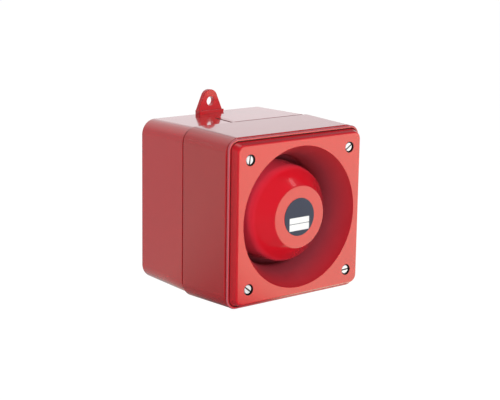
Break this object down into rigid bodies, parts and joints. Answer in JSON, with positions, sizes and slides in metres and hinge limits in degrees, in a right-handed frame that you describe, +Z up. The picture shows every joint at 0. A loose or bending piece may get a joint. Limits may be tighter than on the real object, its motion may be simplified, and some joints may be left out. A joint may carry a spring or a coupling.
{
  "type": "horn sounder",
  "caption": "Square wall-mounted alarm horn sounder in glossy red plastic, with a re-entrant horn, a two-part case, lugs at top and bottom and a cable gland below.",
  "frame": {"origin": "centre of the flat back face, which lies on the wall", "axes": "+Y into the wall, so the horn faces -Y; +X to the right as seen from the front; +Z up"},
  "size_m": [0.1394, 0.1238, 0.1766],
  "materials": {
    "case_red": "high gloss moulded plastic",
    "horn_red": "gloss moulded plastic",
    "seal_rubber": "matte",
    "label_film": "satin printed film with a blank white field",
    "bright_steel": "zinc plated",
    "insert_brass": "turned",
    "dark_plastic": "moulded",
    "ferrite": "ground",
    "cone_film": "phenolic cloth",
    "coil_copper": "enamelled wire",
    "phenolic": "hard paper",
    "wire_black": "insulated wire",
    "board_green": "solder mask",
    "core_iron": "laminated",
    "tape_yellow": "tape",
    "can_blue": "sleeve",
    "terminal_green": "moulded",
    "ivory_plastic": "moulded",
    "fuse_glass": "clear",
    "switch_blue": "moulded"
  },
  "bodies": {
    "case": {"rear_housing": "case_red", "housing_seal": "seal_rubber", "front_housing": "case_red", "front_seal": "seal_rubber", "horn_front": "horn_red", "throat_tube": "horn_red", "horn_bell": "horn_red", "label_disc": "label_film", "cover_screws": "bright_steel", "screw_washers": "seal_rubber", "threaded_inserts": "insert_brass", "driver_gasket": "seal_rubber", "driver_cover": "dark_plastic", "phase_plug": "dark_plastic", "diaphragm_surround": "seal_rubber", "driver_frame": "dark_plastic", "pole_plate": "bright_steel", "magnet_ring": "ferrite", "yoke": "bright_steel", "driver_screws": "bright_steel", "terminal_strip": "phenolic", "terminal_blades": "bright_steel", "driver_leads": "wire_black", "circuit_board": "board_green", "board_screws": "bright_steel", "transformer_core": "core_iron", "transformer_coil": "tape_yellow", "capacitors": "can_blue", "terminal_block": "terminal_green", "terminal_screws": "bright_steel", "lead_header": "ivory_plastic", "fuse_clips": "insert_brass", "fuse": "fuse_glass", "sound_chips": "dark_plastic", "tone_switch": "switch_blue", "volume_body": "switch_blue", "gland_body": "dark_plastic", "gland_ring": "seal_rubber", "gland_locknut": "dark_plastic", "gland_seal": "seal_rubber", "gland_cap": "dark_plastic"},
    "diaphragm_coil": {"diaphragm": "cone_film", "voice_coil": "coil_copper"},
    "volume_rotor": {"volume_rotor": "ivory_plastic"},
    "tone_slider_1": {"tone_slider_1": "ivory_plastic"},
    "tone_slider_2": {"tone_slider_2": "ivory_plastic"},
    "tone_slider_3": {"tone_slider_3": "ivory_plastic"},
    "tone_slider_4": {"tone_slider_4": "ivory_plastic"},
    "tone_slider_5": {"tone_slider_5": "ivory_plastic"}
  },
  "joints": [
    {"name": "diaphragm_travel", "type": "slide", "parent": "case", "child": "diaphragm_coil", "axis": [0, -1, 0], "range_m": [-0.0004, 0.0004], "stiffness_N_per_m": 500},
    {"name": "volume_turn", "type": "hinge", "parent": "case", "child": "volume_rotor", "pos_m": [0.004, -0.0191, 0.011], "axis": [0, -1, 0], "range_deg": [-135, 135]},
    {"name": "tone_1", "type": "slide", "parent": "case", "child": "tone_slider_1", "axis": [0, 0, 1], "range_m": [0, 0.0017]},
    {"name": "tone_2", "type": "slide", "parent": "case", "child": "tone_slider_2", "axis": [0, 0, 1], "range_m": [0, 0.0017]},
    {"name": "tone_3", "type": "slide", "parent": "case", "child": "tone_slider_3", "axis": [0, 0, 1], "range_m": [0, 0.0017]},
    {"name": "tone_4", "type": "slide", "parent": "case", "child": "tone_slider_4", "axis": [0, 0, 1], "range_m": [0, 0.0017]},
    {"name": "tone_5", "type": "slide", "parent": "case", "child": "tone_slider_5", "axis": [0, 0, 1], "range_m": [0, 0.0017]}
  ]
}
